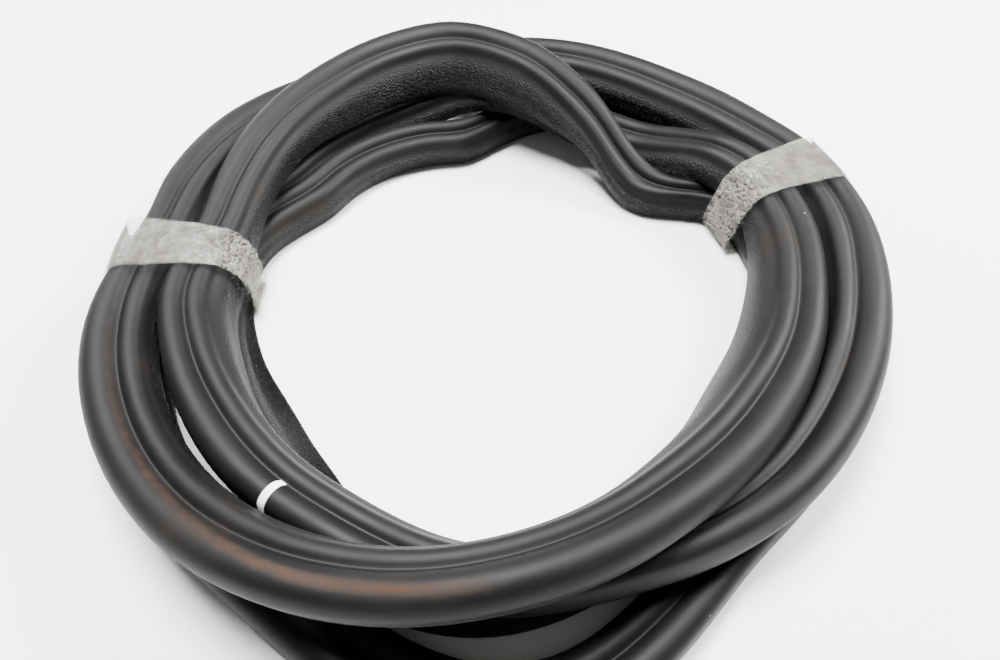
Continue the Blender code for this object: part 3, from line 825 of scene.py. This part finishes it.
def even_points(outline, count):
    """Closed outline as count points the same distance apart, slightly rounded."""
    points = np.array(outline)
    closed = np.vstack([points, points[:1]])
    lengths = np.hypot(*np.diff(closed, axis=0).T)
    at = np.concatenate([[0], np.cumsum(lengths)])
    want = np.linspace(0, at[-1], count, endpoint=False)
    even = np.stack([np.interp(want, at, closed[:, 0]), np.interp(want, at, closed[:, 1])], axis=1)
    for _ in range(FILM_ROUNDING):
        even = (np.roll(even, 1, 0) + 2 * even + np.roll(even, -1, 0)) / 4
    return even


def crumple(place, scale):
    """Height of crumpled film at a place, from 0 in the facets to 1 on the creases."""
    height = 0.0
    for size, weight in ((1.0, .6), (.5, .4)):
        near = noise.voronoi(place / (scale * size))[0]
        height += weight * max(0.0, 1 - (near[1] - near[0]) * 2.4)
    return height


def wrap_hull(lay, angle):
    """Hull of the four strands over the tape's width, as the tape's solid has it."""
    reach = math.degrees(TAPE_WIDTH / 2 / RING_RADIUS)
    points = []
    for turn in range(TURNS):
        for share in (-1, -.75, -.5, -.25, 0, .25, .5, .75, 1):
            points += lay.outline_at(angle + share * reach + 360 * turn)
    return convex_hull([(round(r, 4), round(z, 4)) for r, z in points])


def film_point(number, spot, outward, beside, rim):
    """One point of a winding: its radius and height, and how creased and how slack it is."""
    (r, z), (nr, nz) = spot, outward
    inward = max(0.0, -nr * .8 + nz * .35) if nz > UNDERSIDE else 0
    place = Vector((r, z, beside)) + Vector((17, 31, 7)) * number
    creased = crumple(place, CREASE_SIZE) * min(1, .12 + 1.3 * inward)
    lift = creased * CREASE_HEIGHT + inward * SLACK_HEIGHT * (noise.noise(place * .11) + .4)
    lift = max(lift, 0)
    lift += rim * EDGE_WAVE * noise.noise(place * .35)
    height = max(z + nz * lift, .05 + .1 * number)
    if nz < UNDERSIDE:
        height = z
        lift = 0
    slack = min(1, max(0, 2.2 * (inward - .36)))
    return r + nr * lift, height, (max(creased, FLAT_WHITE - inward), slack)


def make_wrap(name, lay, angle, shift, bands):
    """Windings of clear film round the four strands, drawn tight and crumpled inside."""
    hull = wrap_hull(lay, angle)
    middle = np.array(hull).mean(0)
    mesh = bmesh.new()
    crease = mesh.verts.layers.float.new("crease")
    loose = mesh.verts.layers.float.new("loose")
    for number, (growth, offset, width, tilt) in enumerate(bands):
        outline = even_points(grown(hull, growth), FILM_AROUND)
        tangent = np.roll(outline, -1, 0) - np.roll(outline, 1, 0)
        normal = np.stack([tangent[:, 1], -tangent[:, 0]], axis=1)
        normal /= np.linalg.norm(normal, axis=1)[:, None]
        edges = None
        for k in range(FILM_ACROSS + 1):
            across = (k / FILM_ACROSS - .5) * width
            rim = (abs(k / FILM_ACROSS - .5) * 2)**6
            spots, marks = [], []
            for spot, outward, (mr, mz) in zip(outline, normal, outline - middle):
                round_it = math.atan2(mz, mr)
                beside = across + offset + tilt * math.sin(round_it)
                r, z, mark = film_point(number, spot, outward, beside, rim)
                turn = math.radians(angle) + beside / RING_RADIUS
                spots.append(Vector((r * math.cos(turn), r * math.sin(turn), z)) * MM)
                marks.append(mark)
            if edges is None:
                edges = ring_of(mesh, spots)
            else:
                edges = extrude_ring(mesh, edges, spots)
            for vert, mark in zip(loop_verts(edges), marks):
                vert[crease], vert[loose] = mark
    bmesh.ops.translate(mesh, verts=mesh.verts, vec=shift)
    bmesh.ops.recalc_face_normals(mesh, faces=mesh.faces)
    for face in mesh.faces:
        face.smooth = True
    wrap = to_object(name, mesh)
    add_modifier(wrap, "SOLIDIFY", thickness=FILM_THICKNESS * MM, offset=1.0)
    return wrap


class Shader:
    """Small helper that adds nodes to one material and joins them."""

    def __init__(self, name):
        self.material = bpy.data.materials.new(name)
        self.material.use_nodes = True
        self.nodes = self.material.node_tree.nodes
        self.links = self.material.node_tree.links
        self.main = self.nodes["Principled BSDF"]
        self.object = self.add("ShaderNodeTexCoord").outputs["Object"]

    def add(self, kind, settings=None, **inputs):
        """Add a node; an input is named, or numbered as _0, _1 and so on."""
        made = self.nodes.new(kind)
        for key, value in (settings or {}).items():
            setattr(made, key, value)
        for key, value in inputs.items():
            socket = made.inputs[int(key[1:])] if key[1:].isdigit() else made.inputs[key]
            self.put(socket, value)
        return made

    def put(self, socket, value):
        """Join a value to a socket, or set it there."""
        if isinstance(value, bpy.types.NodeSocket):
            self.links.new(value, socket)
        elif isinstance(value, tuple) and len(value) == 3 and socket.type == "RGBA":
            socket.default_value = (*value, 1)
        else:
            socket.default_value = value

    def noise(self, scale, detail=3.0, rough=.5):
        made = self.add("ShaderNodeTexNoise", Vector=self.object, Scale=scale,
                        Detail=detail, Roughness=rough)
        return made.outputs["Fac"]

    def cells(self, scale, feature="F1"):
        made = self.add("ShaderNodeTexVoronoi", {"feature": feature}, Vector=self.object,
                        Scale=scale)
        return made.outputs["Distance"]

    def math(self, kind, a, b=0.0, c=0.0):
        made = self.add("ShaderNodeMath", {"operation": kind}, _0=a, _1=b, _2=c)
        return made.outputs[0]

    def ramp(self, value, low, high, to_low=0.0, to_high=1.0):
        """Map low to to_low and high to to_high, and hold the ends."""
        made = self.add("ShaderNodeMapRange", _0=value, _1=low, _2=high, _3=to_low, _4=to_high)
        return made.outputs[0]

    def mix(self, share, first, second):
        made = self.add("ShaderNodeMix", {"data_type": "RGBA"}, _0=share, _6=first, _7=second)
        return made.outputs[2]

    def attribute(self, name):
        return self.add("ShaderNodeAttribute", {"attribute_name": name}).outputs["Fac"]

    def bump(self, height, distance, strength, under=None):
        made = self.add("ShaderNodeBump", Height=height, Distance=distance, Strength=strength)
        if under is not None:
            self.links.new(under, made.inputs["Normal"])
        return made.outputs["Normal"]

    def finish(self, **inputs):
        """Set the main shader's inputs and hand over the material."""
        for key, value in inputs.items():
            self.put(self.main.inputs[key.replace("_", " ")], value)
        return self.material


def rubber_finish():
    """Soft black sponge rubber, a grained lip, brown dust, rust, pale specks and a paint mark."""
    s = Shader("seal_rubber_finish")
    grain = s.attribute("grain")
    rust = s.attribute("rust")
    cloud = s.noise(26, 4, .55)
    dust = s.math("MULTIPLY", s.ramp(cloud, .46, .72), .55)
    colour = s.mix(dust, RUBBER_BLACK, RUBBER_DUST)
    fine = s.noise(1800, 2, .6)
    colour = s.mix(s.ramp(fine, .35, .8, 0, .25), colour, RUBBER_FINE_GREY)
    ragged = s.ramp(s.math("MULTIPLY", rust, s.ramp(s.noise(160, 5, .65), .25, .7, .35, 1.3)),
                    .12, .95)
    colour = s.mix(s.math("MULTIPLY", ragged, .8), colour, RUST_BROWN)
    speck = s.ramp(s.cells(62), .020, .035, 1, 0)
    speck = s.math("MULTIPLY", speck, s.ramp(s.noise(17, 1), .60, .64))
    colour = s.mix(speck, colour, SPECK_PALE)
    uv = s.add("ShaderNodeUVMap", {"uv_map": "seal"}).outputs["UV"]
    part = s.add("ShaderNodeSeparateXYZ", Vector=uv)
    along, around = part.outputs["X"], part.outputs["Y"]
    off = s.math("ABSOLUTE", s.math("SUBTRACT", along, MARK_ALONG))
    stripe = s.ramp(off, MARK_HALF * .85, MARK_HALF * 1.1, 1, 0)
    stripe = s.math("MULTIPLY", stripe, s.ramp(around, MARK_FROM, MARK_FROM + .01))
    stripe = s.math("MULTIPLY", stripe, s.ramp(around, MARK_TO, MARK_TO + .01, 1, 0))
    colour = s.mix(stripe, colour, PAINT_WHITE)
    rough = s.ramp(cloud, .3, .75, .50, .62)
    rough = s.math("ADD", rough, s.math("MULTIPLY", ragged, .25))
    rough = s.math("SUBTRACT", rough, s.math("MULTIPLY", grain, .10))
    pebble = s.ramp(s.cells(520, "DISTANCE_TO_EDGE"), 0, .3)
    small = s.ramp(s.cells(1300, "DISTANCE_TO_EDGE"), 0, .3)
    leather = s.math("ADD", s.math("MULTIPLY", pebble, .65), s.math("MULTIPLY", small, .35))
    leather = s.math("MULTIPLY", leather, grain)
    soft = s.bump(s.noise(38, 2), .0016, .35)
    pores = s.bump(s.noise(2300, 3, .7), .0001, .35, soft)
    normal = s.bump(leather, .0011, 1, pores)
    return s.finish(Base_Color=colour, Roughness=rough, Specular_IOR_Level=.16, Normal=normal)


def film_finish():
    """Clear packing tape: hazy where it lies flat, clear with white creases where it is loose."""
    s = Shader("clear_tape_finish")
    crease, loose = s.attribute("crease"), s.attribute("loose")
    haze = s.noise(140, 4, .6)
    edge = s.cells(300, "DISTANCE_TO_EDGE")
    thin = s.cells(640, "DISTANCE_TO_EDGE")
    fold = s.math("MAXIMUM", s.ramp(edge, .01, .07, 1, 0), s.ramp(thin, .01, .06, .6, 0))
    fold = s.math("MULTIPLY", fold, loose)
    white = s.math("MULTIPLY", s.ramp(crease, 0, 1, .006, .11), s.ramp(haze, .36, .64, .1, 1.5))
    flat = s.ramp(loose, 0, 1, .044, .004)
    white = s.math("ADD", s.math("MULTIPLY_ADD", fold, .26, white), flat)
    streaks = s.bump(s.noise(900, 3, .6), .0002, .3)
    facets = s.math("MULTIPLY", s.ramp(edge, 0, .35), loose)
    normal = s.bump(facets, .0016, .9, streaks)
    return s.finish(Base_Color=FILM_WHITE, Roughness=s.ramp(haze, .36, .64, .07, .26),
                    Alpha=white, Specular_IOR_Level=.6, Normal=normal)


def floor_finish():
    """Pale, nearly plain floor."""
    s = Shader("pale_floor_finish")
    colour = s.mix(s.noise(3, 4), FLOOR_PALE, FLOOR_PALER)
    return s.finish(Base_Color=colour, Roughness=.62)


def add_floor():
    """The floor under the bundle, which is stage and not part of the object."""
    mesh = bmesh.new()
    bmesh.ops.create_grid(mesh, x_segments=2, y_segments=2, size=3)
    floor = to_object("pale_floor", mesh)
    floor.data.materials.append(floor_finish())


def add_light(name, place, aim, size, power, colour):
    """A rectangular light that faces its aim."""
    data = bpy.data.lights.new(name, "AREA")
    data.shape = "RECTANGLE"
    data.size, data.size_y = size
    data.energy = power
    data.color = colour
    light = bpy.data.objects.new(name, data)
    light.location = place
    light.rotation_euler = (Vector(aim) - Vector(place)).to_track_quat("-Z", "Y").to_euler()
    bpy.context.scene.collection.objects.link(light)


def add_lights():
    """The three lights, and a pale room round them."""
    for light in LIGHTS:
        add_light(*light)
    world = bpy.data.worlds.new("pale_room")
    world.use_nodes = True
    back = world.node_tree.nodes["Background"]
    back.inputs["Color"].default_value = ROOM_COLOUR
    back.inputs["Strength"].default_value = ROOM_STRENGTH
    bpy.context.scene.world = world


def low_corner(rings):
    """Lowest corner of the box round all the points of the rings."""
    return Vector(min(p[k] for ring in rings for p in ring) for k in range(3))


def main():
    """Build the seal, its two wraps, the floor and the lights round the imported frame."""
    add_camera()
    lay = Lay()
    solid = [at_angle(lay.angles[i], lay.outline(i)) for i in range(len(lay.angles))]
    shift = Vector(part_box("door_seal")[0]) - low_corner(solid)
    seal = make_seal(lay, shift)
    seal.data.materials.append(rubber_finish())
    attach(seal, "root")
    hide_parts("door_seal")
    film = film_finish()
    for node, angle in TAPE_ANGLES.items():
        wrap = make_wrap(node + "_film", lay, angle, shift, WINDINGS[node])
        wrap.data.materials.append(film)
        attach(wrap, "root")
        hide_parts(node)
    add_floor()
    add_lights()


main()
